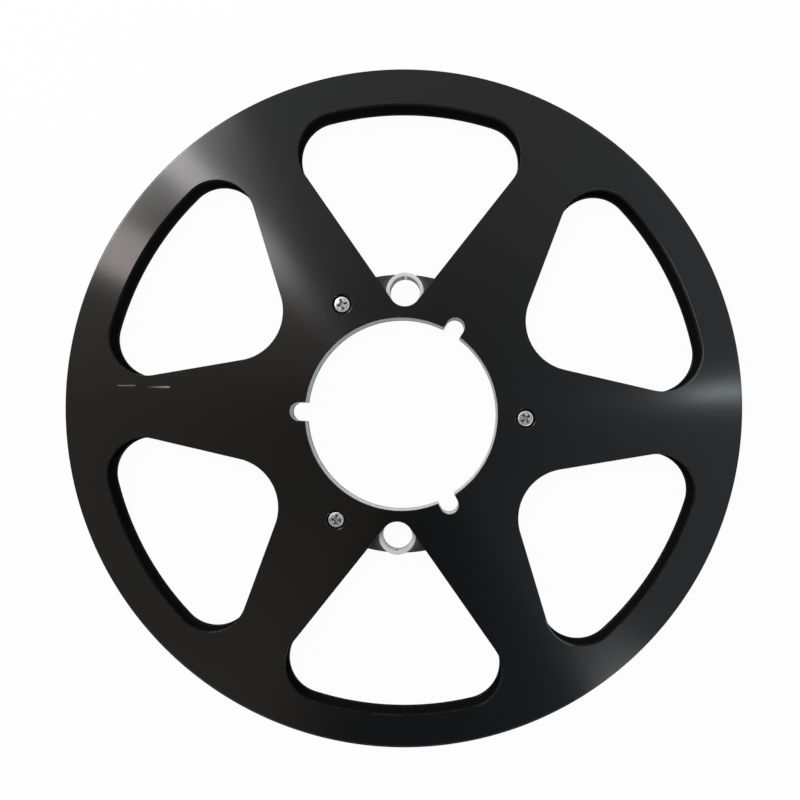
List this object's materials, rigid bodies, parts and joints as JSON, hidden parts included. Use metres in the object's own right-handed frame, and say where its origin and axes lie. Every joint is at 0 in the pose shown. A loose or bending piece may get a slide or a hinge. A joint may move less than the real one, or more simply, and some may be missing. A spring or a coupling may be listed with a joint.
{
  "type": "audio tape reel",
  "caption": "Black metal reel for audio tape: windowed flanges screwed to a narrow hub with a large notched centre hole and slotted threading bushes.",
  "frame": {"origin": "on the reel's axis, at the outer face of the back flange, on which the reel lies", "axes": "+Z along the axis from the back flange to the front flange; +Y towards one threading hole; +X towards the screws on that side, away from the drive notch at -X"},
  "size_m": [0.2666, 0.2666, 0.0127],
  "materials": {
    "black_anodised": "black anodised over fine lathe turning, satin",
    "grey_anodised": "dark grey anodised over fine turning",
    "bare_aluminium": "bare machined aluminium",
    "bright_screw": "nickel plated steel"
  },
  "bodies": {
    "root": {"front_flange": "black_anodised", "back_flange": "black_anodised", "hub_core": "grey_anodised", "bore_liner": "bare_aluminium", "bush_1_front": "bare_aluminium", "bush_1_back": "bare_aluminium", "bush_2_front": "bare_aluminium", "bush_2_back": "bare_aluminium", "front_screw_1": "bright_screw", "front_screw_2": "bright_screw", "front_screw_3": "bright_screw", "back_screw_1": "bright_screw", "back_screw_2": "bright_screw", "back_screw_3": "bright_screw"}
  },
  "joints": []
}
